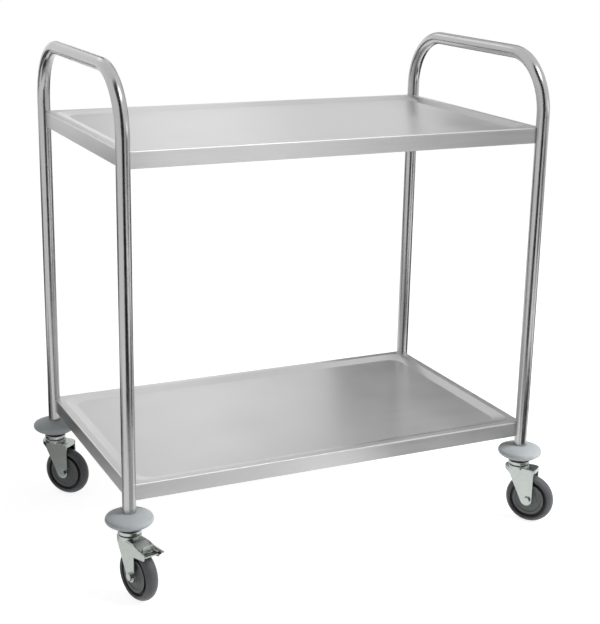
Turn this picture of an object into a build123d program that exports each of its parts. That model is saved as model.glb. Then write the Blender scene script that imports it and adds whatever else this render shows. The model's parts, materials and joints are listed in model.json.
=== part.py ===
"""Two-tier serving trolley in stainless steel, on four swivel casters, two of them braked.

The frame is two bent tubes, each one both legs and a push handle, with a folded and dished tray
welded between them at two heights. The origin is on the floor at the centre between the four legs,
+X runs along the length, +Y to the back and +Z up. All sizes are in millimetres.
"""

import os
from math import cos, radians, sin, sqrt

from build123d import *

# Frame
leg_spacing_x = 835.0  # between tube axes, along the length
leg_spacing_y = 497.0  # between tube axes, across the depth
handle_rise = 145.0  # from the top tray's rim to the top of the handle
tube_diameter = 25.0
tube_wall = 1.2
handle_bend_radius = 110.0  # on the tube's centre line

# Trays
tray_clearance = 20.0  # between the bumpers and the bottom tray's apron
tray_spacing = 600.0  # from rim to rim
sheet = 1.0
apron_height = 30.0
fold_radius = 2.5  # outside of the fold between rim and apron
hem_width = 10.0  # strip turned in along the apron's bottom edge
rim_flat = 15.0
dish_slope_width = 20.0
dish_depth = 6.0
dish_corner_radius = 30.0
dish_edge_radius = 8.0  # rounding where the flat rim turns down into the dish
notch_gap = 0.1  # round each tube, closed by the welds
weld_bead_radius = 1.8
weld_bead_offset = 1.0
weld_bead_inset = 4.0  # from the hem and from the rim
stiffener_length = 720.0
stiffener_crown_width = 40.0
stiffener_flange_width = 14.0
stiffener_height = 15.0
stiffener_sheet = 1.0

# Caster stack, from the floor up
wheel_diameter = 100.0
trail = 28.0  # from the swivel axis to the axle
fork_headroom = 13.0  # between the wheel's top and the fork's crown
fork_crown_thickness = 3.0
raceway_height = 3.5
race_gap = 2.0
upper_race_height = 7.0
seal_height = 6.5
bumper_thickness = 26.0
bumper_socket_depth = 8.0

# Swivel head
bumper_diameter = 88.0
bumper_foot_diameter = 44.0
bumper_edge_radius = 7.0
bumper_crown_rise = 2.0  # how far the top and bottom faces bow out
upper_race_diameter = 43.0
raceway_diameter = 43.0
race_edge_radius = 1.2
seal_bottom_diameter = 42.0
seal_top_diameter = 38.0
stem_diameter = 12.0
stem_head_diameter = 20.0
stem_head_height = 4.0
plug_length = 42.0
ball_diameter = 5.0
ball_circle_diameter = 29.0
ball_count = 14

# Fork
fork_inner_width = 30.0
fork_sheet = 2.5
fork_end_radius = 12.0
fork_end_setback = 2.0  # of the round end's centre ahead of the axle
fork_lead = 9.5  # how far the cheeks start ahead of the swivel axis
crown_nose = 28.0  # from the swivel axis to the front of the crown
crown_skirt_depth = 9.0  # of the turned-down edge round the nose
cheek_shoulder_depth = 21.0  # from the crown's top to where the cheek starts to taper
shoulder_hollow = 4.0  # how far the curve between the skirt and the cheek is hollowed
crown_disc_diameter = 43.0
crown_reach = 40.0  # from the swivel axis to the crown's lip
crown_lip_depth = 8.0
crown_corner_radius = 10.0
fork_fold_radius = 3.5

# Wheel
tread_width = 27.0
tyre_thickness = 11.0
tyre_shoulder_depth = 8.0  # from the tyre's crown to its widest line
core_groove_width = 6.0  # between the tyre and the disc
core_disc_width = 22.0
core_dish_depth = 1.5
core_dish_margin = 5.0  # from the hub, and from the disc's edge, to the shallow ring
core_rim_width = 13.0
hub_diameter = 26.0
hub_width = 27.0
bush_diameter = 18.0
bush_width = 28.6
sleeve_diameter = 12.0
axle_diameter = 8.0
bolt_head_across_flats = 13.0
bolt_head_height = 5.3
nut_height = 6.5
bolt_tail = 2.5

# Brake
recess_start = 30.0  # from the swivel axis to where the crown opens for the pedal
wing_reach = 69.0  # from the swivel axis to the end of the fork's side wings
wing_drop = 9.0  # of the wing's top edge at its end, below the crown
wing_end_depth = 11.5
wing_joint_depth = 25.0  # from the crown's top to where a wing's lower edge leaves the cheek
wing_lip_width = 8.0  # of the strip that joins the wings at their end
wing_lip_rise = 4.0  # of that strip above the wings' lower edges
pedal_pivot_offset = 12.0  # from the axle, along the trail
pedal_pivot_drop = 8.0  # below the top of the fork's crown
pedal_plate_start = -7.0  # from the pivot, along the trail
pedal_plate_end = 17.0
pedal_plate_lift = 3.0  # from the pivot up to the underside of the plate
pedal_slope_deg = 28.0
pedal_sheet = 2.0
pedal_side_gap = 0.5
pedal_boss_radius = 5.0
pedal_pin_diameter = 5.0
toe_width = 24.0
toe_lean = 2.0
toe_height = 11.5
toe_radius = 2.0
prong_width = 4.0
prong_thickness = 2.2
upper_prong_length = 35.0
lower_prong_length = 25.0
lower_prong_rise = 3.0  # above the foot of the toe
shoe_width = 18.0
shoe_start = 5.0  # from the pivot, along the trail
shoe_length = 10.0
shoe_gap = 3.2  # between the shoe and the tyre with the brake off

# Clearances
running_fit = 0.05  # radial, on every pin and shaft
seat_fit = 0.02  # between pieces held together
free_gap = 0.3  # between a fixed face and a turning one
bolt_fit = 0.1

# Direction of each caster's trail, in degrees from +X
trail_angles = {"front_left": -75.0, "front_right": -54.0, "back_left": -49.0, "back_right": 75.0}
braked = ("front_left", "back_right")

# Sizes that follow from those above
tube_radius = tube_diameter / 2
axle_height = wheel_diameter / 2
crown_underside = wheel_diameter + fork_headroom
crown_top = crown_underside + fork_crown_thickness
raceway_top = crown_top + raceway_height
upper_race_bottom = raceway_top + race_gap
upper_race_top = upper_race_bottom + upper_race_height
bumper_bottom = upper_race_top + seal_height
bumper_top = bumper_bottom + bumper_thickness
tube_end = bumper_top - bumper_socket_depth
bottom_rim_height = bumper_top + tray_clearance + apron_height
top_rim_height = bottom_rim_height + tray_spacing
handle_height = top_rim_height + handle_rise - tube_radius  # of the tube's centre line
ball_height = (raceway_top + upper_race_bottom) / 2
fork_outer_width = fork_inner_width + 2 * fork_sheet
fork_rear = trail - fork_end_setback + fork_end_radius
tyre_inner_diameter = wheel_diameter - 2 * tyre_thickness
core_disc_diameter = tyre_inner_diameter - 2 * core_groove_width
pedal_pivot_reach = trail + pedal_pivot_offset
pedal_pivot_height = crown_top - pedal_pivot_drop
stem_radius = stem_diameter / 2
corners = {
    "front_left": (-leg_spacing_x / 2, -leg_spacing_y / 2),
    "front_right": (leg_spacing_x / 2, -leg_spacing_y / 2),
    "back_left": (-leg_spacing_x / 2, leg_spacing_y / 2),
    "back_right": (leg_spacing_x / 2, leg_spacing_y / 2),
}


def post(radius, low, high, x=0.0, y=0.0):
    """Round bar along Z between two heights."""
    return Pos(x, y, (low + high) / 2) * Cylinder(radius, high - low)


def block(low, high):
    """Box between two opposite corners."""
    size = [b - a for a, b in zip(low, high)]
    middle = [(a + b) / 2 for a, b in zip(low, high)]
    return Pos(*middle) * Box(*size)


def crossbar(radius, start, end, x, z):
    """Round bar across a caster, along its axle's direction."""
    return Pos(x, (start + end) / 2, z) * Rot(90, 0, 0) * Cylinder(radius, end - start)


def hexagon_bar(across_flats, start, end, x, z):
    """Six-sided bar across a caster."""
    outline = RegularPolygon(across_flats / sqrt(3), 6)
    return Pos(x, end, z) * Rot(90, 0, 0) * extrude(outline, amount=end - start)


def across(profile, start, end):
    """Extrudes a side view, drawn with the trail along x and height along y, across a caster."""
    return Pos(0, end, 0) * Rot(90, 0, 0) * extrude(profile, amount=end - start)


def turned(profile):
    """Turns a half section, drawn with radius along x and height along y, about the Z axis."""
    return revolve(Plane.XZ * profile, Axis.Z)


def bowed_line(start, end, rise):
    """Arc that bows to the left of its chord by a rise."""
    start, end = Vector(*start), Vector(*end)
    chord = (end - start).normalized()
    middle = (start + end) / 2 + Vector(-chord.Y, chord.X) * rise
    return ThreePointArc(start, middle, end)


def on_caster(shape, corner):
    """Carries a piece from a caster's own frame to its leg, turned to its trail."""
    return Pos(*corners[corner], 0) * Rot(0, 0, trail_angles[corner]) * shape


# Frame tubes and trays


def end_frame(side):
    """One bent tube: two legs and the push handle between them."""
    x, y = side * leg_spacing_x / 2, leg_spacing_y / 2
    path = FilletPolyline(
        (x, -y, tube_end), (x, -y, handle_height), (x, y, handle_height), (x, y, tube_end),
        radius=handle_bend_radius,
    )
    foot = Plane(origin=(x, -y, tube_end), z_dir=(0, 0, 1))
    return sweep(foot * Circle(tube_radius), path) - sweep(foot * Circle(tube_radius - tube_wall), path)


def dish():
    """The tapered hollow pressed into a tray, with its mouth at height 0."""
    mouth_inset = 2 * rim_flat
    floor_inset = 2 * (rim_flat + dish_slope_width)
    mouth = RectangleRounded(leg_spacing_x - mouth_inset, leg_spacing_y - mouth_inset, dish_corner_radius)
    floor = RectangleRounded(leg_spacing_x - floor_inset, leg_spacing_y - floor_inset, dish_corner_radius)
    return loft([Pos(0, 0, -dish_depth) * floor, mouth])


def tray(rim_height):
    """Folded sheet: flat rim, dished middle, apron on four sides and a hem turned in below."""
    inner_x, inner_y = leg_spacing_x - 2 * sheet, leg_spacing_y - 2 * sheet
    outside = Pos(0, 0, -apron_height / 2) * Box(leg_spacing_x, leg_spacing_y, apron_height)
    outside = fillet(outside.edges().group_by(Axis.Z)[-1], fold_radius)
    inside = Pos(0, 0, -(apron_height + sheet) / 2) * Box(inner_x, inner_y, apron_height - sheet)
    inside = fillet(inside.edges().group_by(Axis.Z)[-1], fold_radius - sheet)
    hem = Box(inner_x, inner_y, sheet) - Box(inner_x - 2 * hem_width, inner_y - 2 * hem_width, sheet)
    body = (outside - inside) + Pos(0, 0, sheet / 2 - apron_height) * hem
    body = body + Pos(0, 0, -sheet) * dish() - dish()
    mouth_x = leg_spacing_x / 2 - rim_flat + seat_fit
    mouth_y = leg_spacing_y / 2 - rim_flat + seat_fit
    mouth = [
        edge for edge in body.edges().group_by(Axis.Z)[-1]
        if abs(edge.center().X) < mouth_x and abs(edge.center().Y) < mouth_y
    ]
    body = fillet(mouth, dish_edge_radius)
    for x, y in corners.values():
        body -= post(tube_radius + notch_gap, -apron_height - sheet, sheet, x, y)
    return Pos(0, 0, rim_height) * body


def corner_welds(rim_height, plate):
    """Beads inside the corners of a tray, where both aprons meet the tube."""
    low = rim_height - apron_height + sheet + weld_bead_inset
    high = rim_height - sheet - weld_bead_inset
    along = sqrt((tube_radius + notch_gap) ** 2 - sheet**2) + weld_bead_offset
    aside = sheet + weld_bead_offset
    beads = []
    for x, y in corners.values():
        inward_x, inward_y = (-1 if x > 0 else 1), (-1 if y > 0 else 1)
        for step_x, step_y in ((along, aside), (aside, along)):
            bead = post(weld_bead_radius, low, high, x + inward_x * step_x, y + inward_y * step_y)
            bead = bead - post(tube_radius + seat_fit, low, high, x, y) - plate
            beads.append(bead.solids().sort_by(SortBy.VOLUME)[-1])
    return Compound(beads)


def stiffener(rim_height):
    """Hat-section channel welded under the dish, along the tray."""
    seat = rim_height - dish_depth - sheet
    half_crown = stiffener_crown_width / 2
    flange_end = half_crown + stiffener_flange_width
    right = [
        (flange_end, 0), (flange_end, -stiffener_sheet), (half_crown, -stiffener_sheet),
        (half_crown, -stiffener_height),
    ]
    inside_half = half_crown - stiffener_sheet
    outline = right + [(-y, z) for y, z in reversed(right)]
    hollow = [(-inside_half, 0), (-inside_half, stiffener_sheet - stiffener_height)]
    outline += hollow + [(-y, z) for y, z in reversed(hollow)]
    section = make_face(Polyline(*outline, close=True))
    return Pos(-stiffener_length / 2, 0, seat) * extrude(Plane.YZ * section, amount=stiffener_length)


# Fixed half of a caster


def bumper():
    """Soft lens-shaped disc with a socket for the tube's end and a hole for the stem."""
    edge, middle = bumper_diameter / 2, (bumper_bottom + bumper_top) / 2
    foot, mouth = bumper_foot_diameter / 2, tube_radius + seat_fit
    shoulder = edge - bumper_edge_radius * (1 - cos(radians(45)))
    drop = bumper_edge_radius * sin(radians(45))
    upper = bowed_line((mouth, bumper_top), (shoulder, middle + drop), bumper_crown_rise)
    rim = ThreePointArc((shoulder, middle + drop), (edge, middle), (shoulder, middle - drop))
    lower = bowed_line((shoulder, middle - drop), (foot, bumper_bottom), bumper_crown_rise)
    bore = Polyline(
        (foot, bumper_bottom), (stem_radius + bolt_fit, bumper_bottom), (stem_radius + bolt_fit, tube_end),
        (mouth, tube_end), (mouth, bumper_top),
    )
    return turned(make_face(upper + rim + lower + bore))


def tube_plug():
    """Threaded insert that fills the tube's end and takes the caster's stem."""
    fill = tube_radius - tube_wall - seat_fit
    length = tube_end + plug_length
    return post(fill, tube_end, length) - post(stem_radius + seat_fit, tube_end, length)


def caster_stem():
    """Bolt that carries the caster: shank up into the plug, head under the fork's crown."""
    head_top = crown_underside - free_gap
    shank = post(stem_radius, head_top, tube_end + plug_length)
    return shank + post(stem_head_diameter / 2, head_top - stem_head_height, head_top)


def ball_track():
    """Ring of the balls' own section, which both races are grooved by."""
    return Pos(0, 0, ball_height) * Torus(ball_circle_diameter / 2, ball_diameter / 2 + running_fit)


def upper_race():
    """Fixed bearing cup under the dust seal."""
    cup = post(upper_race_diameter / 2, upper_race_bottom, upper_race_top)
    cup = fillet(cup.edges(), race_edge_radius)
    return cup - post(stem_radius + seat_fit, upper_race_bottom, upper_race_top) - ball_track()


def dust_seal():
    """Rubber ring that fills the step between the upper race and the bumper."""
    middle = (upper_race_top + bumper_bottom) / 2
    ring = Pos(0, 0, middle) * Cone(seal_bottom_diameter / 2, seal_top_diameter / 2, seal_height)
    return ring - post(stem_radius + bolt_fit, upper_race_top, bumper_bottom)


# Swivelling half of a caster


def cheek_outline(with_brake):
    """Side view of the fork: a skirt round the nose, tapering cheeks and, for a brake, two long wings."""
    shoulder, skirt = crown_top - cheek_shoulder_depth, crown_top - crown_skirt_depth
    end = Pos(trail - fork_end_setback, axle_height) * Circle(fork_end_radius)
    middle = Pos((fork_rear - fork_lead) / 2, (shoulder + crown_top) / 2)
    head = middle * Rectangle(fork_rear + fork_lead, crown_top - shoulder)
    outline = make_hull(end.edges() + head.edges())
    hollow = bowed_line((-crown_nose, skirt), (-fork_lead, shoulder), shoulder_hollow)
    brow = Polyline(
        (-fork_lead, shoulder), (-fork_lead, crown_top), (-crown_nose, crown_top), (-crown_nose, skirt),
    )
    outline += make_face(hollow + brow)
    if with_brake:
        tip = crown_top - wing_drop
        wing = [
            (0, crown_top), (recess_start, crown_top), (wing_reach, tip), (wing_reach, tip - wing_end_depth),
            (fork_rear, crown_top - wing_joint_depth), (0, shoulder),
        ]
        outline += make_face(Polyline(*wing, close=True))
    return outline


def crown_plan(half_width, reach, low, high):
    """Block with the fork's plan: a round nose ahead of the swivel axis and straight sides behind it."""
    centre = crown_nose - fork_outer_width / 2
    sides = block((-centre, -half_width, low), (reach, half_width, high))
    return post(half_width, low, high, -centre) + sides


def wing_lip():
    """Strip across the end of a braked fork, between its wings."""
    low = crown_top - wing_drop - wing_end_depth + wing_lip_rise
    start = wing_reach - wing_lip_width
    half = fork_inner_width / 2
    return block((start, -half, low), (wing_reach, half, low + fork_sheet))


def fork(with_brake):
    """Pressed fork: two cheeks, a crown with its raceway, and a lip or a pedal's recess behind."""
    half_out, half_in = fork_outer_width / 2, fork_inner_width / 2
    body = across(cheek_outline(with_brake), -half_out, half_out)
    body = body & crown_plan(half_out, wing_reach, 0, crown_top)
    top_edges = [edge for edge in body.edges() if abs(edge.center().Z - crown_top) < seat_fit]
    body = fillet([edge for edge in top_edges if edge.center().X < recess_start - seat_fit], fork_fold_radius)
    body -= crown_plan(half_in, wing_reach, 0, crown_underside)
    if with_brake:
        body -= block((recess_start, -half_in, 0), (wing_reach, half_in, crown_top))
        body += wing_lip()
    else:
        shelf = block((0, -half_out, crown_underside), (crown_reach, half_out, crown_top))
        lip_low = crown_top - crown_lip_depth
        shelf += block((crown_reach - fork_sheet, -half_out, lip_low), (crown_reach, half_out, crown_top))
        uprights = shelf.edges().filter_by(Axis.Z).group_by(Axis.X)[-1]
        body += fillet(uprights, crown_corner_radius)
    body += post(crown_disc_diameter / 2, crown_underside, crown_top)
    raceway = post(raceway_diameter / 2, crown_top, raceway_top)
    body += fillet(raceway.edges().group_by(Axis.Z)[-1], race_edge_radius)
    body -= post(stem_radius + running_fit, crown_underside - fork_sheet, raceway_top)
    body -= ball_track()
    body -= crossbar(axle_diameter / 2 + bolt_fit, -half_out, half_out, trail, axle_height)
    if with_brake:
        hole = pedal_pin_diameter / 2 + seat_fit
        body -= crossbar(hole, -half_out, half_out, pedal_pivot_reach, pedal_pivot_height)
    return body


def bearing_balls():
    """Ring of balls that the fork swivels on."""
    circle = PolarLocations(ball_circle_diameter / 2, ball_count)
    return Compound([Pos(0, 0, ball_height) * place * Sphere(ball_diameter / 2) for place in circle])


def axle_bolt():
    """Hexagon bolt through both cheeks, its head on the right of the trail."""
    half = fork_outer_width / 2
    shank = crossbar(axle_diameter / 2, -half, half + nut_height + bolt_tail, trail, axle_height)
    return shank + hexagon_bar(bolt_head_across_flats, -half - bolt_head_height, -half, trail, axle_height)


def axle_nut():
    """Nut on the axle bolt's far end."""
    half = fork_outer_width / 2
    nut = hexagon_bar(bolt_head_across_flats, half, half + nut_height, trail, axle_height)
    return nut - crossbar(axle_diameter / 2 + seat_fit, half, half + nut_height, trail, axle_height)


def axle_sleeve():
    """Steel tube clamped between the cheeks, which the wheel turns on."""
    half = fork_inner_width / 2 - seat_fit
    sleeve = crossbar(sleeve_diameter / 2, -half, half, trail, axle_height)
    return sleeve - crossbar(axle_diameter / 2 + bolt_fit, -half, half, trail, axle_height)


# Wheel


def wheel_at_axle(shape):
    """Stands a wheel piece, turned about Z, on its axle."""
    return Pos(trail, 0, axle_height) * Rot(90, 0, 0) * shape


def wheel_core():
    """Moulded disc wheel with a shallow ring in each face and a narrow rim under the tyre."""
    hub, disc, rim = hub_width / 2, core_disc_width / 2, core_rim_width / 2
    floor = disc - core_dish_depth
    disc_edge, rim_edge = core_disc_diameter / 2, tyre_inner_diameter / 2 - seat_fit
    bore = bush_diameter / 2 + seat_fit
    dish_in, dish_out = hub_diameter / 2 + core_dish_margin, disc_edge - core_dish_margin
    face = [
        (bore, hub), (hub_diameter / 2, hub), (hub_diameter / 2 + core_dish_depth, disc), (dish_in, disc),
        (dish_in + core_dish_depth, floor), (dish_out - core_dish_depth, floor), (dish_out, disc),
        (disc_edge, disc), (disc_edge, rim), (rim_edge, rim),
    ]
    outline = face + [(r, -z) for r, z in reversed(face)]
    return wheel_at_axle(turned(make_face(Polyline(*outline, close=True))))


def wheel_bush():
    """Plain nylon bearing pressed into the hub."""
    half = bush_width / 2
    ring = post(bush_diameter / 2, -half, half) - post(sleeve_diameter / 2 + running_fit, -half, half)
    return wheel_at_axle(ring)


def tyre():
    """Soft grey tread with a round crown."""
    half, crown, inner = tread_width / 2, wheel_diameter / 2, tyre_inner_diameter / 2
    shoulder = crown - tyre_shoulder_depth
    seat = core_disc_width / 2
    tread = ThreePointArc((shoulder, half), (crown, 0), (shoulder, -half))
    walls = Polyline((shoulder, -half), (inner, -seat), (inner, seat), (shoulder, half))
    return wheel_at_axle(turned(make_face(tread + walls)))


# Brake


def pedal_line(offset, lift=0.0):
    """Point on the underside of the pedal's sloping plate, or above it, at an offset from the pivot."""
    fall = offset * sin(radians(pedal_slope_deg)) / cos(radians(pedal_slope_deg))
    return pedal_pivot_reach + offset, pedal_pivot_height + pedal_plate_lift - fall + lift


def pedal_plate():
    """Side view of the sloping plate."""
    thick = pedal_sheet / cos(radians(pedal_slope_deg))
    ends = (pedal_plate_start, pedal_plate_end)
    outline = [pedal_line(offset) for offset in ends]
    outline += [pedal_line(offset, thick) for offset in reversed(ends)]
    return make_face(Polyline(*outline, close=True))


def toe_foot():
    """Centre of the bend where the pedal's plate turns up into its toe, in side view."""
    return pedal_line(pedal_plate_end, toe_radius)


def toe():
    """Side view of the upright toe, rounded along its top."""
    x, z = toe_foot()
    foot = Pos(x, z) * Circle(toe_radius)
    top = Pos(x + toe_lean, z + toe_height) * Circle(toe_radius)
    return make_hull(foot.edges() + top.edges())


def prong(length, lift, inner, outer):
    """Finger that stands out from the toe."""
    x, z = toe_foot()
    return block((x, inner, z + lift), (x + length, outer, z + lift + prong_thickness))


def brake_pedal():
    """Foot pedal: sloping plate with an upright toe, two side flanges and two fingers on the left."""
    half, half_toe = fork_inner_width / 2 - pedal_side_gap, toe_width / 2
    plate = pedal_plate()
    body = across(plate, -half, half) + across(toe(), -half_toe, half_toe)
    boss = Pos(pedal_pivot_reach, pedal_pivot_height) * Circle(pedal_boss_radius)
    flange = make_hull(boss.edges() + plate.edges())
    for side in (-1, 1):
        inner, outer = sorted((side * (half - pedal_sheet), side * half))
        body += across(flange, inner, outer)
    body += prong(upper_prong_length, toe_height - prong_thickness, half_toe - prong_width, half_toe)
    body += prong(lower_prong_length, lower_prong_rise, half_toe - prong_width, half_toe)
    hole = pedal_pin_diameter / 2 + running_fit
    return body - crossbar(hole, -half, half, pedal_pivot_reach, pedal_pivot_height)


def brake_shoe():
    """Rubber block under the pedal, hollowed to the tyre's curve."""
    start, end = shoe_start, shoe_start + shoe_length
    left, right = pedal_pivot_reach + start, pedal_pivot_reach + end
    outline = [pedal_line(start), pedal_line(end), (right, axle_height), (left, axle_height)]
    body = across(make_face(Polyline(*outline, close=True)), -shoe_width / 2, shoe_width / 2)
    body -= crossbar(wheel_diameter / 2 + shoe_gap, -shoe_width, shoe_width, trail, axle_height)
    return body - brake_pedal()


def pedal_pin():
    """Pin through both wings of the fork, riveted flush."""
    half = fork_outer_width / 2
    return crossbar(pedal_pin_diameter / 2, -half, half, pedal_pivot_reach, pedal_pivot_height)


def write(shape, node):
    """Keeps one sub-part as a file under its node's name."""
    export_step(shape, f"parts/{node}.step")


os.makedirs("parts", exist_ok=True)

write(end_frame(-1), "left_end_frame")
write(end_frame(1), "right_end_frame")
for level, rim_height in (("top", top_rim_height), ("bottom", bottom_rim_height)):
    plate = tray(rim_height)
    write(plate, f"{level}_tray")
    write(corner_welds(rim_height, plate), f"{level}_tray_welds")
    write(stiffener(rim_height), f"{level}_tray_stiffener")

fixed_pieces = {
    "tube_plugs": tube_plug(), "caster_stems": caster_stem(),
    "upper_races": upper_race(), "dust_seals": dust_seal(),
}
for node, piece in fixed_pieces.items():
    write(Compound([on_caster(piece, corner) for corner in corners]), node)

rolling_pieces = {
    "bumper": bumper(), "bearing_balls": bearing_balls(), "axle_bolt": axle_bolt(), "axle_nut": axle_nut(),
    "axle_sleeve": axle_sleeve(), "wheel_core": wheel_core(), "wheel_bush": wheel_bush(), "tyre": tyre(),
}
brake_pieces = {"brake_pedal": brake_pedal(), "brake_shoe": brake_shoe(), "pedal_pin": pedal_pin()}
for corner in corners:
    with_brake = corner in braked
    write(on_caster(fork(with_brake), corner), f"fork_{corner}")
    pieces = {**rolling_pieces, **brake_pieces} if with_brake else rolling_pieces
    for name, piece in pieces.items():
        write(on_caster(piece, corner), f"{name}_{corner}")
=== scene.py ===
# %% [markdown]
# A stainless steel serving trolley: two bent tubes that are legs and handles in one, two dished trays
# welded between them, and four swivel casters with soft grey bumpers. The solid model is loaded first as
# a fixed frame. Everything below gives it its surfaces, its light and the few pieces that only show.

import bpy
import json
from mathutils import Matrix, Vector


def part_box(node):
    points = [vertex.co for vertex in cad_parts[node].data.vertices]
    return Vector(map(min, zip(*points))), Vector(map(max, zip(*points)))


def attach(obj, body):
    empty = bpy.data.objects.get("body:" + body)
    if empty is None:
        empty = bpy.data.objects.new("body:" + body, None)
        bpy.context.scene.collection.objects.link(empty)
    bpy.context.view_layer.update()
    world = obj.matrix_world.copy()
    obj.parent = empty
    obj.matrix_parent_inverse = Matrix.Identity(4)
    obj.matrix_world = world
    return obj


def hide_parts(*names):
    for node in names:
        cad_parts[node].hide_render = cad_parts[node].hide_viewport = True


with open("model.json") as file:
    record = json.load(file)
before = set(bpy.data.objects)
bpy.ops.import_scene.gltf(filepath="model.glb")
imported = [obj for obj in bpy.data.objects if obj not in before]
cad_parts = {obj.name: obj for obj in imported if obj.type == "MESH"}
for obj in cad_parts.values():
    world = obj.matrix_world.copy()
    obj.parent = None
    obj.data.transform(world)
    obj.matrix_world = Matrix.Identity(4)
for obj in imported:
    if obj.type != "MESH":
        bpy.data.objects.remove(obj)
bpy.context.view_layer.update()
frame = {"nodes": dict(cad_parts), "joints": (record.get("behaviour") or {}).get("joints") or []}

import json
from math import cos, radians, sin

import bmesh
import bpy
from mathutils import Matrix, Vector

nodes = frame["nodes"]
joints = {joint["name"]: joint for joint in frame["joints"]}
scene = bpy.context.scene
MM = 0.001
print("nodes:", len(nodes), "joints:", len(joints))

# %% [markdown]
# The camera stands where the photographer stood: in front of the left end and well above the top tray.
# Its place and its turn were found by fitting straight edges of the trolley, so the picture's own size in
# pixels gives the lens. A long lens is what keeps the legs nearly parallel.

# %% Camera
IMAGE_HEIGHT = 624
FOCAL_PIXELS = 1358.1
SENSOR_MM = 36.0
VIEW_END = 200.0  # metres, past the far edge of the floor
CAMERA_PLACE = Vector((-1.1056, -2.3879, 1.2051))
CAMERA_YAW, CAMERA_PITCH, CAMERA_ROLL = radians(25.466), radians(16.606), radians(1.142)

ahead = Vector((sin(CAMERA_YAW), cos(CAMERA_YAW), 0))
forward = ahead * cos(CAMERA_PITCH) - Vector((0, 0, sin(CAMERA_PITCH)))
right = Vector((cos(CAMERA_YAW), -sin(CAMERA_YAW), 0))
upward = right.cross(forward)
rolled_right = right * cos(CAMERA_ROLL) + upward * sin(CAMERA_ROLL)
rolled_up = upward * cos(CAMERA_ROLL) - right * sin(CAMERA_ROLL)
turn = Matrix((rolled_right, rolled_up, -forward)).transposed()
camera = bpy.data.objects.new("camera", bpy.data.cameras.new("camera"))
camera.data.sensor_fit = "VERTICAL"
camera.data.sensor_height = SENSOR_MM
camera.data.lens = FOCAL_PIXELS * SENSOR_MM / IMAGE_HEIGHT
camera.data.clip_end = VIEW_END
camera.matrix_world = Matrix.Translation(CAMERA_PLACE) @ turn.to_4x4()
scene.collection.objects.link(camera)
scene.camera = camera
print("lens in mm:", round(camera.data.lens, 2))

# %% [markdown]
# Every finish below is a small node tree. It could be clicked together in the shader editor, but a script
# can be read and run again. One function adds a node, sets what is fixed on it and links what comes from
# another node. Colours are written as sRGB hex values, as a paint chart gives them, and one function turns
# them into the linear values that the shader works in.


# %% Colours and nodes
def linear(code):
    """sRGB hex colour as linear red, green and blue, with an alpha of 1."""
    parts = [int(code[i : i + 2], 16) / 255 for i in (1, 3, 5)]
    return [p / 12.92 if p <= 0.04045 else ((p + 0.055) / 1.055) ** 2.4 for p in parts] + [1.0]


def add(tree, kind, inputs=None, **settings):
    """Adds a node: settings are its own properties, inputs are values or links for its sockets."""
    made = tree.nodes.new(kind)
    for name, value in settings.items():
        setattr(made, name, value)
    for name, value in (inputs or {}).items():
        if isinstance(value, bpy.types.NodeSocket):
            tree.links.new(value, made.inputs[name])
        else:
            made.inputs[name].default_value = value
    return made


print("white is", [round(c, 2) for c in linear("#FFFFFF")])

# %% [markdown]
# All finishes begin and end alike: one Principled shader, and a tint, a roughness and a bump that go into
# it. Patterns read Object coordinates, which stay on a piece when it moves. The size of a pattern is given
# in millimetres, as it would be measured on the real thing.

# %% Begin and end a finish
MIX_SHARE, MIX_FIRST, MIX_SECOND, MIX_RESULT = 0, 6, 7, 2  # a Mix node's sockets when it mixes colours
NOISE_LOW, NOISE_HIGH = 0.3, 0.7  # nearly all of a noise's values lie between these
METAL_BUMP = 0.1 * MM


def empty_material(name):
    """Material with an empty node tree. Returns both."""
    material = bpy.data.materials.new(name)
    material.use_nodes = True
    material.node_tree.nodes.clear()
    return material, material.node_tree


def new_finish(name, shader_inputs):
    """Material with one Principled shader. Returns it, its tree, the shader and the Object coordinates."""
    material, tree = empty_material(name)
    shader = add(tree, "ShaderNodeBsdfPrincipled", shader_inputs)
    add(tree, "ShaderNodeOutputMaterial", {"Surface": shader.outputs["BSDF"]})
    coords = add(tree, "ShaderNodeTexCoord").outputs["Object"]
    return material, tree, shader, coords


def close_finish(tree, shader, tint, rough, bump):
    """Links a finish's tint, roughness and bump to its shader."""
    tree.links.new(tint.outputs[MIX_RESULT], shader.inputs["Base Color"])
    tree.links.new(rough.outputs[0], shader.inputs["Roughness"])
    tree.links.new(bump.outputs[0], shader.inputs["Normal"])


def per_mm(size):
    """Texture scale for a pattern whose features are that many millimetres wide."""
    return 1 / (size * MM)


print("a pattern 2 mm wide has a scale of", per_mm(2.0))

# %% [markdown]
# The tubes are drawn stainless steel, polished on a belt along their length. The belt leaves hair lines
# that stretch every reflection along the tube and make its roughness uneven. A plain mirror would look
# like chrome, so two noises carry the lines and the haze. The real lines are about a tenth of a millimetre
# wide, too fine to show here, so they are drawn about 2 mm wide and very faint.


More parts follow.
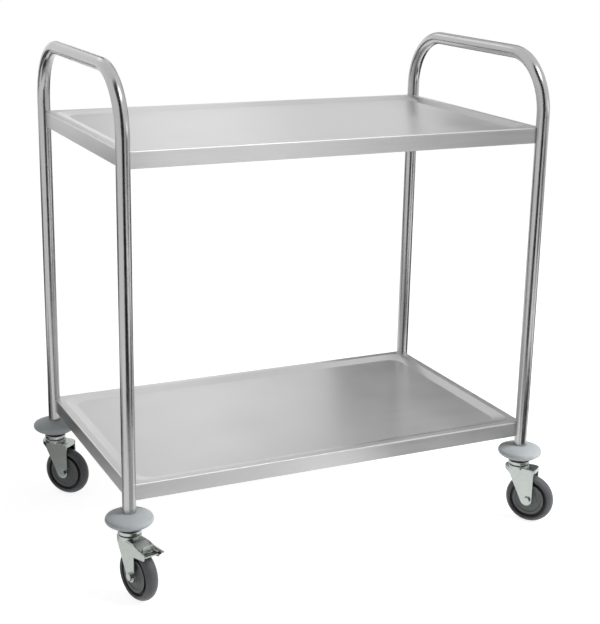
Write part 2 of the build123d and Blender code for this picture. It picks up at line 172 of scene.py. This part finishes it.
# %% Finish: polished stainless tube
def polished_tube_steel():
    """Drawn tube: mirror bands with soft edges, a slow haze and faint lines along it."""
    material, tree, shader, coords = new_finish("stainless_tube_polished", {"Metallic": 1.0})
    line_width, line_length, haze_width = 2.0, 120.0, 60.0
    smooth, hazy = 0.19, 0.27
    # A bent tube lies in a plane across X, so lines that change only with X follow its legs and its bends.
    stretch = (per_mm(line_width), per_mm(line_length), per_mm(line_length))
    along = add(tree, "ShaderNodeMapping", {"Vector": coords, "Scale": stretch})
    lines = add(tree, "ShaderNodeTexNoise", {"Vector": along.outputs[0], "Scale": 1.0, "Detail": 3.0})
    haze = add(tree, "ShaderNodeTexNoise", {"Vector": coords, "Scale": per_mm(haze_width), "Detail": 2.0})
    tint = add(
        tree, "ShaderNodeMix",
        {MIX_SHARE: lines.outputs["Fac"], MIX_FIRST: linear("#ABABAB"), MIX_SECOND: linear("#BABABA")},
        data_type="RGBA",
    )
    rough = add(
        tree, "ShaderNodeMapRange",
        {"Value": haze.outputs["Fac"], "From Min": NOISE_LOW, "From Max": NOISE_HIGH,
         "To Min": smooth, "To Max": hazy},
    )
    bump = add(
        tree, "ShaderNodeBump", {"Height": lines.outputs["Fac"], "Strength": 0.04, "Distance": METAL_BUMP}
    )
    close_finish(tree, shader, tint, rough, bump)
    return material


tube_steel = polished_tube_steel()
print(tube_steel.name)

# %% [markdown]
# The trays are rolled sheet, brushed along their length to a satin finish. Brushed steel blurs a reflection
# across the lines and keeps it sharper along them, so a leg behind the tray shows in it as one long streak.
# The shader does that by its anisotropy, whose tangent is the direction of the blur. Faint streaks and a
# slow cloudiness keep the big flat floor from looking like plastic. The real brush lines are finer than a
# pixel, so the streaks are drawn 3 mm wide.


# %% Finish: satin stainless sheet
def satin_sheet_steel():
    """Rolled sheet: soft broad reflections with faint streaks along the length."""
    material, tree, shader, coords = new_finish(
        "stainless_sheet_satin", {"Metallic": 1.0, "Anisotropic": 0.7}
    )
    across_lines = (0, 1, 0.15)  # tipped a little, so that it has a direction on the front apron as well
    streak_width, streak_length, cloud_width = 3.0, 260.0, 140.0
    sum_low, sum_high = 0.7, 1.3  # nearly all of two noises' sum lies between these
    smooth, dull = 0.3, 0.38
    blur = add(tree, "ShaderNodeCombineXYZ", dict(zip("XYZ", across_lines)))
    tree.links.new(blur.outputs[0], shader.inputs["Tangent"])
    stretch = (per_mm(streak_length), per_mm(streak_width), per_mm(streak_width))
    along = add(tree, "ShaderNodeMapping", {"Vector": coords, "Scale": stretch})
    streaks = add(tree, "ShaderNodeTexNoise", {"Vector": along.outputs[0], "Scale": 1.0, "Detail": 4.0})
    cloud = add(tree, "ShaderNodeTexNoise", {"Vector": coords, "Scale": per_mm(cloud_width), "Detail": 2.0})
    tint = add(
        tree, "ShaderNodeMix",
        {MIX_SHARE: streaks.outputs["Fac"], MIX_FIRST: linear("#D1D1D1"), MIX_SECOND: linear("#D9D9D9")},
        data_type="RGBA",
    )
    mixed = add(
        tree, "ShaderNodeMath", {0: streaks.outputs["Fac"], 1: cloud.outputs["Fac"]}, operation="ADD"
    )
    rough = add(
        tree, "ShaderNodeMapRange",
        {"Value": mixed.outputs[0], "From Min": sum_low, "From Max": sum_high,
         "To Min": smooth, "To Max": dull},
    )
    bump = add(
        tree, "ShaderNodeBump", {"Height": streaks.outputs["Fac"], "Strength": 0.05, "Distance": METAL_BUMP}
    )
    close_finish(tree, shader, tint, rough, bump)
    return material


sheet_steel = satin_sheet_steel()
print(sheet_steel.name)

# %% [markdown]
# Forks, races, bolts and pedals are pressed steel with bright zinc plate, passivated, which leaves a
# slight green-grey cast and a cloudy look under the shine. One even grey would look like paint, so two
# soft noises, one for the cast and one for the shine, carry that.


# %% Finish: zinc plate
def zinc_plate():
    """Bright zinc on pressed steel: cool, slightly green, uneven shine."""
    material, tree, shader, coords = new_finish("zinc_plated_steel", {"Metallic": 1.0})
    haze_width, stain_width = 18.0, 10.0
    bright, cloudy = 0.23, 0.3
    haze = add(tree, "ShaderNodeTexNoise", {"Vector": coords, "Scale": per_mm(haze_width), "Detail": 1.0})
    stain = add(tree, "ShaderNodeTexNoise", {"Vector": coords, "Scale": per_mm(stain_width), "Detail": 2.0})
    tint = add(
        tree, "ShaderNodeMix",
        {MIX_SHARE: stain.outputs["Fac"], MIX_FIRST: linear("#AEB4B0"), MIX_SECOND: linear("#B8BDB9")},
        data_type="RGBA",
    )
    rough = add(
        tree, "ShaderNodeMapRange",
        {"Value": haze.outputs["Fac"], "From Min": NOISE_LOW, "From Max": NOISE_HIGH,
         "To Min": bright, "To Max": cloudy},
    )
    bump = add(
        tree, "ShaderNodeBump", {"Height": stain.outputs["Fac"], "Strength": 0.02, "Distance": METAL_BUMP}
    )
    close_finish(tree, shader, tint, rough, bump)
    return material


zinc = zinc_plate()
print(zinc.name)

# %% [markdown]
# Five kinds of piece are moulded: the soft grey bumpers, the black seals and brake shoes, the grey wheel
# cores, the darker tyres and the pale nylon bushes. All have the same kind of surface, a slightly rough
# skin over one colour, so one function makes them. What differs is the colour, the size of the skin's
# grain and how much dust and scuffing dulls it. The real grain is a few tenths of a millimetre wide, too
# fine to show, so it is drawn 1 to 2 mm wide. A wheel's groove, between its disc and its tyre, gets
# painted shade: its radius from the axle tells where it is, so the core's colour turns dark beyond the
# disc as painted shade.

# %% Finish: moulded rubber and plastic
# painted shade: a wheel core turns dark beyond this radius, in the groove between disc and tyre
DISC_RADIUS = 32.7 * MM  # just inside the disc's edge, so that the edge's wall is dark too
GROOVE_FADE = 0.4 * MM
PAINTED_GROOVE_SHADE = "#141516"
CLOUD_WIDTH = 22.0


def paint_groove_shade(tree, tint, coords, axle):
    """Mixes painted shade into a tint for a wheel's groove, beyond the disc's radius from the wheel's axle.
    """
    arm = add(tree, "ShaderNodeVectorMath", {0: coords, 1: axle["pos_m"]}, operation="SUBTRACT")
    across = add(
        tree, "ShaderNodeVectorMath", {0: arm.outputs[0], 1: axle["axis"]}, operation="CROSS_PRODUCT"
    )
    radius = add(tree, "ShaderNodeVectorMath", {0: across.outputs[0]}, operation="LENGTH")
    beyond = add(
        tree, "ShaderNodeMapRange",
        {"Value": radius.outputs["Value"], "From Min": DISC_RADIUS, "From Max": DISC_RADIUS + GROOVE_FADE},
    )
    return add(
        tree, "ShaderNodeMix",
        {MIX_SHARE: beyond.outputs[0], MIX_FIRST: tint.outputs[MIX_RESULT], MIX_SECOND: linear(PAINTED_GROOVE_SHADE)},
        data_type="RGBA",
    )


def moulded(name, dark, light, grain_mm, smooth, dull, depth_mm, axle=None):
    """Moulded skin: two close tones in soft clouds, and a fine grain in roughness and bump."""
    material, tree, shader, coords = new_finish(name, {"IOR": 1.5, "Specular IOR Level": 0.4})
    cloud = add(tree, "ShaderNodeTexNoise", {"Vector": coords, "Scale": per_mm(CLOUD_WIDTH), "Detail": 3.0})
    grain = add(tree, "ShaderNodeTexNoise", {"Vector": coords, "Scale": per_mm(grain_mm), "Detail": 2.0})
    tint = add(
        tree, "ShaderNodeMix",
        {MIX_SHARE: cloud.outputs["Fac"], MIX_FIRST: linear(dark), MIX_SECOND: linear(light)},
        data_type="RGBA",
    )
    rough = add(
        tree, "ShaderNodeMapRange",
        {"Value": grain.outputs["Fac"], "From Min": NOISE_LOW, "From Max": NOISE_HIGH,
         "To Min": smooth, "To Max": dull},
    )
    bump = add(
        tree, "ShaderNodeBump",
        {"Height": grain.outputs["Fac"], "Strength": 0.15, "Distance": depth_mm * MM},
    )
    # with an axle, the wheel core gets painted shade in its groove
    if axle:
        tint = paint_groove_shade(tree, tint, coords, axle)
    close_finish(tree, shader, tint, rough, bump)
    return material


print("grooves begin", round(DISC_RADIUS / MM, 1), "mm from the axle")

# %% [markdown]
# The bumpers' vinyl is pale with a satin sheen, and black rubber is nearly matt. The cores' plastic looks
# waxy, the tyres' smooth tread has a faint shine, and nylon is a warm white. A groove's painted shade is
# measured from its own wheel's axle, so each wheel core has a finish of its own.

# %% The moulded finishes
CASTERS = ("front_left", "front_right", "back_left", "back_right")

bumper_vinyl = moulded(
    "bumper_soft_vinyl", "#A4A9AB", "#AFB4B6", grain_mm=1.6, smooth=0.42, dull=0.55, depth_mm=0.15
)
seal_rubber = moulded(
    "seal_black_rubber", "#101112", "#1A1B1C", grain_mm=1.2, smooth=0.5, dull=0.65, depth_mm=0.1
)
# each wheel core's finish has painted shade in its groove, measured from its own axle
core_plastics_with_painted_shade = {}
for corner in CASTERS:
    core_plastics_with_painted_shade["wheel_core_" + corner] = moulded(
        "wheel_core_polypropylene_" + corner, "#5A5C5D", "#686A6B",
        grain_mm=1.5, smooth=0.45, dull=0.6, depth_mm=0.15, axle=joints["spin_" + corner],
    )
tread_rubber = moulded(
    "tread_grey_rubber", "#48494C", "#55575A", grain_mm=1.4, smooth=0.32, dull=0.45, depth_mm=0.08
)
nylon = moulded("bush_nylon", "#D8D6CE", "#E4E2DA", grain_mm=1.2, smooth=0.4, dull=0.5, depth_mm=0.1)
print([m.name for m in (bumper_vinyl, seal_rubber, *core_plastics_with_painted_shade.values(), tread_rubber, nylon)])

# %% [markdown]
# Each solid of the frame takes the finish of what it is made of. The names of the nodes say what they
# are, so a short list of name beginnings is enough.

# %% Dress the solids
FINISHES = {
    "left_end_frame": tube_steel, "right_end_frame": tube_steel,
    "top_tray": sheet_steel, "bottom_tray": sheet_steel,
    "tube_plugs": zinc, "caster_stems": zinc, "upper_races": zinc, "fork": zinc, "bearing_balls": zinc,
    "axle_bolt": zinc, "axle_nut": zinc, "axle_sleeve": zinc, "brake_pedal": zinc, "pedal_pin": zinc,
    "dust_seals": seal_rubber, "brake_shoe": seal_rubber,
    "bumper": bumper_vinyl, "wheel_bush": nylon, "tyre": tread_rubber, **core_plastics_with_painted_shade,
}
for name, solid in nodes.items():
    start = next(start for start in FINISHES if name.startswith(start))
    solid.data.materials.clear()
    solid.data.materials.append(FINISHES[start])
print("dressed", len(nodes), "solids")

# %% [markdown]
# Some pieces follow a rule: a tube follows a path, and a weld repeats one scale. They could be modelled by
# hand, but Geometry Nodes make them from a few points and named sizes, so a change is one number. Three
# helpers carry what the trees share. One opens a tree with an input for each size, one ends it in real
# meshes with their finish, and one runs it and keeps the result as a plain mesh, because the export drops
# anything else.


# %% Helpers for node-built pieces
def new_tree(name, sizes):
    """Geometry tree with a named input for each size and one for the finish."""
    tree = bpy.data.node_groups.new(name, "GeometryNodeTree")
    tree.interface.new_socket("Geometry", in_out="INPUT", socket_type="NodeSocketGeometry")
    for size in sizes:
        tree.interface.new_socket(size, in_out="INPUT", socket_type="NodeSocketFloat")
    tree.interface.new_socket("Finish", in_out="INPUT", socket_type="NodeSocketMaterial")
    tree.interface.new_socket("Geometry", in_out="OUTPUT", socket_type="NodeSocketGeometry")
    return tree, add(tree, "NodeGroupInput").outputs


def close_tree(tree, geometry, finish):
    """Ends a tree: real meshes, smooth shading and the finish."""
    real = add(tree, "GeometryNodeRealizeInstances", {"Geometry": geometry})
    smooth = add(tree, "GeometryNodeSetShadeSmooth", {"Geometry": real.outputs[0]})
    dressed = add(tree, "GeometryNodeSetMaterial", {"Geometry": smooth.outputs[0], "Material": finish})
    add(tree, "NodeGroupOutput", {"Geometry": dressed.outputs[0]})
    print("tree:", tree.name, len(tree.nodes), "nodes")


def grow(name, points, edges, tree, values, finish):
    """Runs a tree on a few points and edges, and keeps the result as a plain mesh."""
    seed = bpy.data.meshes.new(name + "_seed")
    seed.from_pydata(points, edges, [])
    piece = bpy.data.objects.new(name, seed)
    scene.collection.objects.link(piece)
    modifier = piece.modifiers.new(tree.name, "NODES")
    modifier.node_group = tree
    settings = {**values, "Finish": finish}
    for item in tree.interface.items_tree:
        if item.in_out == "INPUT" and item.name in settings:
            modifier[item.identifier] = settings[item.name]
    graph = bpy.context.evaluated_depsgraph_get()
    mesh = bpy.data.meshes.new_from_object(piece.evaluated_get(graph), depsgraph=graph)
    piece.modifiers.remove(modifier)
    piece.data = mesh
    mesh.name = name
    print(name, len(mesh.polygons), "faces")
    return piece


# %% [markdown]
# Each end of the trolley is one tube, bent twice, that is both legs and the push handle. It could be
# extruded by hand, but a tube is only a circle drawn along a path: four points give the path, Fillet Curve
# rounds its two corners to the bend's radius and Curve to Mesh draws the circle along it. Its place and
# thickness are those of the solid that it replaces.

# %% Bent tubes
BEND_RADIUS = 110 * MM
BEND_STEPS = 40
TUBE_SIDES = 64

tube_tree, sizes = new_tree("bent_tube", ("Tube radius", "Bend radius"))
path = add(tube_tree, "GeometryNodeMeshToCurve", {"Mesh": sizes["Geometry"]})
bends = add(
    tube_tree, "GeometryNodeFilletCurve",
    {"Curve": path.outputs[0], "Count": BEND_STEPS, "Radius": sizes["Bend radius"]}, mode="POLY",
)
ring = add(
    tube_tree, "GeometryNodeCurvePrimitiveCircle", {"Resolution": TUBE_SIDES, "Radius": sizes["Tube radius"]}
)
wall = add(
    tube_tree, "GeometryNodeCurveToMesh",
    {"Curve": bends.outputs[0], "Profile Curve": ring.outputs[0], "Fill Caps": True},
)
close_tree(tube_tree, wall.outputs[0], sizes["Finish"])

for side in ("left", "right"):
    low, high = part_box(side + "_end_frame")
    radius = (high[0] - low[0]) / 2
    axis_x = (high[0] + low[0]) / 2
    front, back, top = low[1] + radius, high[1] - radius, high[2] - radius
    corners = [(axis_x, front, low[2]), (axis_x, front, top), (axis_x, back, top), (axis_x, back, low[2])]
    sizes_here = {"Tube radius": radius, "Bend radius": BEND_RADIUS}
    tube = grow(side + "_bent_tube", corners, [(0, 1), (1, 2), (2, 3)], tube_tree, sizes_here, tube_steel)
    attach(tube, "frame")
    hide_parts(side + "_end_frame")

# %% [markdown]
# Inside each corner of a tray two short welds hold the sheet to the tube. A hand weld is a row of
# overlapping scales, one for each time the rod was dipped. A bump could draw them, but the exported mesh
# would then be smooth, so each scale is real. One point marks the foot of each weld, Geometry Nodes stand
# a line of points on it, and every point gets one flattened ball.

# %% Tree for weld scales
SCALE_FLATNESS = 0.6
BALL_SUBDIVISIONS = 2

weld_tree, sizes = new_tree("weld_scales", ("Bead length", "Step", "Scale radius"))
count = add(weld_tree, "ShaderNodeMath", {0: sizes["Bead length"], 1: sizes["Step"]}, operation="DIVIDE")
rise = add(weld_tree, "ShaderNodeCombineXYZ", {"Z": sizes["Step"]})
row = add(weld_tree, "GeometryNodeMeshLine", {"Count": count.outputs[0], "Offset": rise.outputs[0]})
rows = add(
    weld_tree, "GeometryNodeInstanceOnPoints", {"Points": sizes["Geometry"], "Instance": row.outputs[0]}
)
feet = add(weld_tree, "GeometryNodeRealizeInstances", {"Geometry": rows.outputs[0]})
ball = add(
    weld_tree, "GeometryNodeMeshIcoSphere",
    {"Radius": sizes["Scale radius"], "Subdivisions": BALL_SUBDIVISIONS},
)
scales = add(
    weld_tree, "GeometryNodeInstanceOnPoints",
    {"Points": feet.outputs[0], "Instance": ball.outputs[0], "Scale": (1, 1, SCALE_FLATNESS)},
)
close_tree(weld_tree, scales.outputs[0], sizes["Finish"])

# %% [markdown]
# At each leg one weld sits along the tray's length and one along its depth. Their places follow from the
# tubes, and their height from the plain beads of the solid model, which the scales replace. Both come from
# the frame, so the welds stay in the corners if the trolley's sizes change.

# %% Welds in the corners
WELD_RADIUS = 1.9 * MM
WELD_STEP = 1.6 * MM
WELD_ASIDE = 2.0 * MM  # from the tube's axis to the bead behind the sheet
WELD_GAP = 1 * MM  # from the tube's wall to the middle of the bead

left_low, left_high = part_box("left_end_frame")
right_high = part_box("right_end_frame")[1]
tube_radius = (left_high[0] - left_low[0]) / 2
leg_x = right_high[0] - tube_radius
leg_y = right_high[1] - tube_radius
weld_along = tube_radius + WELD_GAP
for level in ("top", "bottom"):
    low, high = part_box(level + "_tray_welds")
    feet_points = [
        (side_x * (leg_x - along), side_y * (leg_y - aside), low[2] + WELD_RADIUS)
        for side_x in (-1, 1)
        for side_y in (-1, 1)
        for along, aside in ((weld_along, WELD_ASIDE), (WELD_ASIDE, weld_along))
    ]
    bead = {"Bead length": high[2] - low[2] - WELD_RADIUS, "Step": WELD_STEP, "Scale radius": WELD_RADIUS}
    welds = grow(level + "_weld_scales", feet_points, [], weld_tree, bead, sheet_steel)
    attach(welds, "frame")
    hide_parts(level + "_tray_welds")

# %% [markdown]
# The lower finger of each brake pedal ends in a black sleeve, so that a shoe doesn't slip off it. It is a
# small block with rounded edges. A cube with a Bevel modifier would do, but bmesh makes both at once and
# leaves a plain mesh. Its place is given from the pedal's pivot: along the wheel's trail, across it and up.
# The brake's own joint gives the pivot and the direction across.

# %% Pedal sleeves
BRAKED = ("front_left", "back_right")
SLEEVE_SIZE = Vector((7.0, 5.6, 3.8)) * MM  # along the trail, across it, up
SLEEVE_MIDDLE = Vector((39.2, 10.0, 0.1)) * MM  # from the pivot
SLEEVE_ROUND = 1.2 * MM
ROUND_STEPS = 4
ROUND_PROFILE = 0.5  # an arc of a circle
UP = Vector((0, 0, 1))

for corner in BRAKED:
    brake = joints["brake_" + corner]
    across = Vector(brake["axis"])
    along = across.cross(UP)
    place = Matrix((along, across, UP)).transposed().to_4x4()
    place.translation = Vector(brake["pos_m"]) + place.to_3x3() @ SLEEVE_MIDDLE
    shell = bmesh.new()
    bmesh.ops.create_cube(shell, size=1.0, matrix=place @ Matrix.Diagonal((*SLEEVE_SIZE, 1)))
    bmesh.ops.bevel(
        shell, geom=shell.edges[:], offset=SLEEVE_ROUND, segments=ROUND_STEPS, profile=ROUND_PROFILE,
        affect="EDGES",
    )
    bmesh.ops.recalc_face_normals(shell, faces=shell.faces[:])
    mesh = bpy.data.meshes.new("pedal_sleeve_" + corner)
    shell.to_mesh(mesh)
    shell.free()
    mesh.polygons.foreach_set("use_smooth", [True] * len(mesh.polygons))
    mesh.materials.append(seal_rubber)
    sleeve = bpy.data.objects.new("pedal_sleeve_" + corner, mesh)
    scene.collection.objects.link(sleeve)
    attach(sleeve, "pedal_" + corner)
    print(sleeve.name, len(mesh.polygons), "faces")

# %% [markdown]
# The stage is a plain pale floor under a white sky. Camera rays and mirror rays see both as nearly pure
# white, as in a catalogue picture, while the floor still takes the trolley's soft shadow. More lamps would
# whiten the floor too, but they would also bleach the trolley. The Light Path node tells a shader which
# kind of ray is asking, so only what is seen turns white.

# %% Floor
FLOOR_HALF = 40.0
SEEN_WHITE = 0.6  # share of plain white in the floor, for rays from the eye or off a mirror
WHITE_STRENGTH = 1.447  # with the lit paper's own share, this makes the open floor exactly white


def seen_ray(tree):
    """1 for camera, glossy and transmission rays, else 0."""
    path = add(tree, "ShaderNodeLightPath")
    mirror = add(
        tree, "ShaderNodeMath",
        {0: path.outputs["Is Camera Ray"], 1: path.outputs["Is Glossy Ray"]}, operation="MAXIMUM",
    )
    either = add(
        tree, "ShaderNodeMath",
        {0: mirror.outputs[0], 1: path.outputs["Is Transmission Ray"]}, operation="MAXIMUM",
    )
    return either.outputs[0]


def flat_panel(name, corners, material):
    """One four-cornered sheet in the scene."""
    mesh = bpy.data.meshes.new(name)
    mesh.from_pydata(corners, [], [(0, 1, 2, 3)])
    mesh.materials.append(material)
    panel = bpy.data.objects.new(name, mesh)
    scene.collection.objects.link(panel)
    return panel


def floor_finish():
    """Matt white paper that the eye sees as nearly pure white."""
    material, tree = empty_material("floor_white_paper")
    paper = add(tree, "ShaderNodeBsdfDiffuse", {"Color": linear("#F6F6F5")})
    white = add(tree, "ShaderNodeEmission", {"Color": linear("#FFFFFF"), "Strength": WHITE_STRENGTH})
    share = add(tree, "ShaderNodeMath", {0: seen_ray(tree), 1: SEEN_WHITE}, operation="MULTIPLY")
    both = add(tree, "ShaderNodeMixShader", {0: share.outputs[0], 1: paper.outputs[0], 2: white.outputs[0]})
    add(tree, "ShaderNodeOutputMaterial", {"Surface": both.outputs[0]})
    return material


floor_corners = [(x * FLOOR_HALF, y * FLOOR_HALF, 0) for x, y in ((-1, -1), (1, -1), (1, 1), (-1, 1))]
flat_panel("floor", floor_corners, floor_finish())
print("floor laid,", 2 * FLOOR_HALF, "m wide")

# %% [markdown]
# The sky is plain white to the eye and to the steel, which gives the white background. Matt surfaces take
# only about a third of that light from it, so that vinyl and rubber keep their tones.

# %% Sky
SKY_FOR_LIGHT = 0.36

world = bpy.data.worlds.new("white_sky")
scene.world = world
world.use_nodes = True
sky = world.node_tree
sky.nodes.clear()
level = add(
    sky, "ShaderNodeMapRange",
    {"Value": seen_ray(sky), "From Min": 0.0, "From Max": 1.0, "To Min": SKY_FOR_LIGHT, "To Max": 1.0},
)
glow = add(sky, "ShaderNodeBackground", {"Color": linear("#FFFFFF"), "Strength": level.outputs[0]})
add(sky, "ShaderNodeOutputWorld", {"Surface": glow.outputs[0]})
print("sky:", world.name)

# %% [markdown]
# One large softbox, above and to the right in front, gives the matt pieces a lit side and the floor its
# shadow. A small lamp would give that shadow a hard edge. Mirror rays don't see the softbox, so it leaves
# no bright square in the steel.

# %% Key lamp
KEY_PLACE, KEY_TARGET = Vector((2.2, -1.8, 2.6)), Vector((0, 0, 0.4))
KEY_SIZE = 1.6
KEY_WATTS = 140.0

lamp = bpy.data.lights.new("key_softbox", "AREA")
lamp.shape = "SQUARE"
lamp.size = KEY_SIZE
lamp.energy = KEY_WATTS
key = bpy.data.objects.new("key_softbox", lamp)
aim = (KEY_TARGET - KEY_PLACE).to_track_quat("-Z", "Y")
key.matrix_world = Matrix.Translation(KEY_PLACE) @ aim.to_matrix().to_4x4()
key.visible_glossy = False
scene.collection.objects.link(key)
print("lamp:", key.name, KEY_WATTS, "W")

# %% [markdown]
# A white sky lights a mirror evenly, and an evenly lit mirror looks like paper. Photographers stand cards
# round shiny metal to draw its shape. A picture of a studio wrapped round the scene could do that too, but
# a card can be moved alone. Only mirror rays see the cards here, so they change reflections and nothing
# else. A card's place comes from mirroring a ray from the camera at the spot that needs its tone.

# %% Helpers for mirror cards
CARD_HEIGHT = 2 * MM  # of a card on the floor


def mirror_card(name, grey, corners, strength=1.0):
    """Plain sheet that only mirror rays see."""
    material, tree = empty_material(name)
    shade = add(tree, "ShaderNodeEmission", {"Color": linear(grey), "Strength": strength})
    add(tree, "ShaderNodeOutputMaterial", {"Surface": shade.outputs[0]})
    card = flat_panel(name, corners, material)
    card.visible_camera = False
    card.visible_diffuse = False
    card.visible_shadow = False
    card.visible_transmission = False
    print("card:", name, grey, strength)


def level_card(name, grey, plan, height=CARD_HEIGHT, strength=1.0):
    """Card that lies level, just above the floor or higher."""
    mirror_card(name, grey, [(x, y, height) for x, y in plan], strength)


def wall_card(name, grey, start, end, low, high, strength=1.0):
    """Card that stands upright between two points of the plan."""
    mirror_card(name, grey, [(*start, low), (*end, low), (*end, high), (*start, high)], strength)


# %% [markdown]
# The cards in front show in the aprons, the forks and the fronts of the legs. Dark ones draw the bands, and
# the paler ones between them keep the steel from going black.

# %% Cards in front
level_card("front_card", "#262626", [(-3.4, -6.0), (0.4, -6.0), (0.15, -1.2), (-0.95, -0.95)])
wall_card("front_wall", "#262626", (-4.5, -6.0), (1.1, -6.0), low=0.0, high=9.0)
wall_card("right_wall", "#969696", (2.6, -5.5), (5.0, -5.5), low=0.0, high=1.5)
level_card("near_front_card", "#C8C8C8", [(-0.6, -1.0), (0.1, -1.15), (0.1, -0.5), (-0.5, -0.5)])
level_card("front_right_card", "#4C4C4C", [(1.5, -5.0), (5.0, -5.0), (5.0, -1.4), (1.4, -1.7)])
level_card("near_right_card", "#484848", [(0.1, -1.15), (1.3, -1.35), (1.3, -0.45), (0.3, -0.5)])

# %% [markdown]
# The cards at the sides show in the sides of the legs, in the trays' left ends and in the back forks. They
# lie on the floor, because an upright surface that is seen from above mirrors the floor beside it.

# %% Cards at the sides
level_card("right_card", "#3C3C3C", [(0.95, -0.2), (4.0, -0.6), (4.0, 1.6), (0.95, 0.75)])
level_card("left_card", "#262626", [(-1.3, 0.25), (-0.54, 0.25), (-0.54, 0.75), (-1.3, 0.95)])
level_card("near_left_card", "#A4A4A4", [(-1.6, -0.2), (-0.5, -0.05), (-0.5, 0.25), (-1.6, 0.25)])
level_card("back_left_card", "#5C5C5C", [(-3.6, 1.0), (-0.9, 1.0), (-0.5, 4.0), (-3.6, 4.0)])

# %% [markdown]
# A flat tray that is seen from above mirrors what stands behind the trolley, and so do the handles. So these
# cards stand upright, low and near for the bottom tray, higher or farther for the top tray and the handles.

# %% Cards behind
mirror_card(
    "back_card", "#FFFFFF", [(-0.8, 2.6, 0), (0.9, 2.6, 0), (1.0, 2.6, 1.3), (-0.8, 2.6, 1.3)], strength=1.2
)
mirror_card("low_card", "#303030", [(0.75, 1.35, 0), (1.9, 1.1, 0), (1.9, 1.1, 0.85), (0.8, 1.35, 0.85)])
mirror_card(
    "back_right_card", "#404040", [(1.45, 2.5, 0), (2.8, 1.85, 0), (2.8, 1.85, 2.0), (1.85, 2.25, 1.6)]
)
wall_card("high_card", "#C0C0C0", (1.2, 2.5), (2.2, 2.1), low=1.7, high=3.0)
wall_card("far_card", "#8C8C8C", (0.8, 8.0), (2.3, 8.0), low=2.6, high=6.0)
wall_card("back_light", "#FFFFFF", (-2.2, 6.0), (0.4, 6.0), low=3.4, high=5.2, strength=1.6)

# %% [markdown]
# Along folds and bends the steel turns through many directions, so somewhere it finds a lamp and shows it
# as a thin white line. A bright card at the right and one overhead give those lines. A dark card beside
# the one overhead gives the handles' bends their dark band.

# %% Cards for folds and bends
CEILING = 2.9

wall_card("side_light", "#FFFFFF", (2.6, -2.5), (3.3, -1.5), low=0.7, high=1.4, strength=2.2)
level_card(
    "fold_light", "#FFFFFF", [(0.2, -1.6), (1.3, -1.6), (1.3, -0.7), (0.2, -0.7)], CEILING, strength=5.0
)
level_card("ceiling_card", "#303030", [(-1.8, -3.0), (0.1, -3.0), (0.1, -0.3), (-1.8, -0.3)], CEILING)

# %% [markdown]
# The Standard view transform shows colours as they are set. A film-like one would turn the white
# background grey and flatten the steel.

# %% Colour management
scene.view_settings.view_transform = "Standard"
print("view transform:", scene.view_settings.view_transform)
